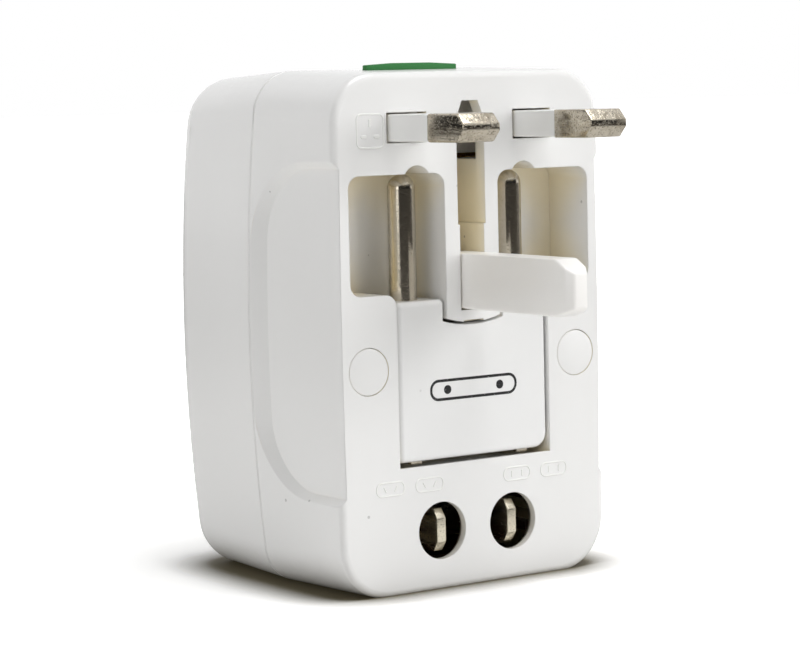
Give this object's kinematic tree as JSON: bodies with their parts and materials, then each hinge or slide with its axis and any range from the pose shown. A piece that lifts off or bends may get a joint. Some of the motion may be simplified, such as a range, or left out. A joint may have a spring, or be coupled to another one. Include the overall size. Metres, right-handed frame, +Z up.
{
  "type": "travel adapter",
  "caption": "Block-shaped travel plug adapter with slide-out flat pins, a folding earth pin, a folding round-pin slab, slide-out turning blades and a socket on its back.",
  "frame": {"origin": "centre of the flat end that the adapter stands on, at half of the body's depth", "axes": "+Z up from the foot, -Y out of the plug face towards the pins, +Y out of the socket face, +X to the right seen from the plug side"},
  "size_m": [0.0498, 0.0686, 0.0754],
  "materials": {
    "shell_plastic": "gloss",
    "inner_plastic": "satin",
    "slab_plastic": "gloss",
    "pin_plastic": "satin",
    "sleeve_plastic": "satin",
    "green_plastic": "satin",
    "black_plastic": "satin",
    "nickel": "polished",
    "brass": "brushed",
    "steel": "brushed"
  },
  "bodies": {
    "housing": {"front_shell": "shell_plastic", "front_shell_blade_wall": "shell_plastic", "rear_shell": "shell_plastic", "socket_insert": "inner_plastic", "earth_pin_bracket": "inner_plastic", "earth_pin_axle": "steel", "screw_cap_left": "shell_plastic", "housing_screw_left": "steel", "bus_strip_left": "brass", "socket_contact_left": "brass", "screw_cap_right": "shell_plastic", "housing_screw_right": "steel", "bus_strip_right": "brass", "socket_contact_right": "brass"},
    "uk_plug": {"uk_carriage": "inner_plastic", "uk_knob": "green_plastic", "uk_pin_left": "nickel", "uk_sleeve_left": "sleeve_plastic", "uk_wiper_left": "brass", "uk_pin_right": "nickel", "uk_sleeve_right": "sleeve_plastic", "uk_wiper_right": "brass"},
    "earth_pin": {"earth_pin": "pin_plastic"},
    "europe_plug": {"europe_slab_front": "slab_plastic", "europe_slab_back": "slab_plastic", "europe_pin_left": "nickel", "europe_pin_right": "nickel"},
    "blade_slider": {"blade_carriage": "inner_plastic", "blade_knob": "green_plastic", "blade_wiper_left": "brass", "blade_wiper_right": "brass"},
    "blade_turn_left": {"blade_left": "nickel", "blade_rotor_left": "black_plastic"},
    "blade_turn_right": {"blade_right": "nickel", "blade_rotor_right": "black_plastic"}
  },
  "joints": [
    {"name": "uk_slide", "type": "slide", "parent": "housing", "child": "uk_plug", "axis": [0, 1, 0], "range_m": [0, 0.018]},
    {"name": "earth_fold", "type": "hinge", "parent": "housing", "child": "earth_pin", "pos_m": [0, -0.0194, 0.042], "axis": [-1, 0, 0], "range_deg": [0, 90]},
    {"name": "europe_fold", "type": "hinge", "parent": "housing", "child": "europe_plug", "pos_m": [0, -0.0195, 0.021], "axis": [1, 0, 0], "range_deg": [0, 90]},
    {"name": "blade_slide", "type": "slide", "parent": "housing", "child": "blade_slider", "axis": [0, -1, 0], "range_m": [0, 0.0172]},
    {"name": "blade_left_twist", "type": "hinge", "parent": "blade_slider", "child": "blade_turn_left", "pos_m": [-0.00635, -0.01359, 0.00841], "axis": [0, 1, 0], "range_deg": [0, 30]},
    {"name": "blade_right_twist", "type": "hinge", "parent": "blade_slider", "child": "blade_turn_right", "pos_m": [0.00635, -0.01359, 0.00841], "axis": [0, -1, 0], "range_deg": [0, 30]}
  ]
}
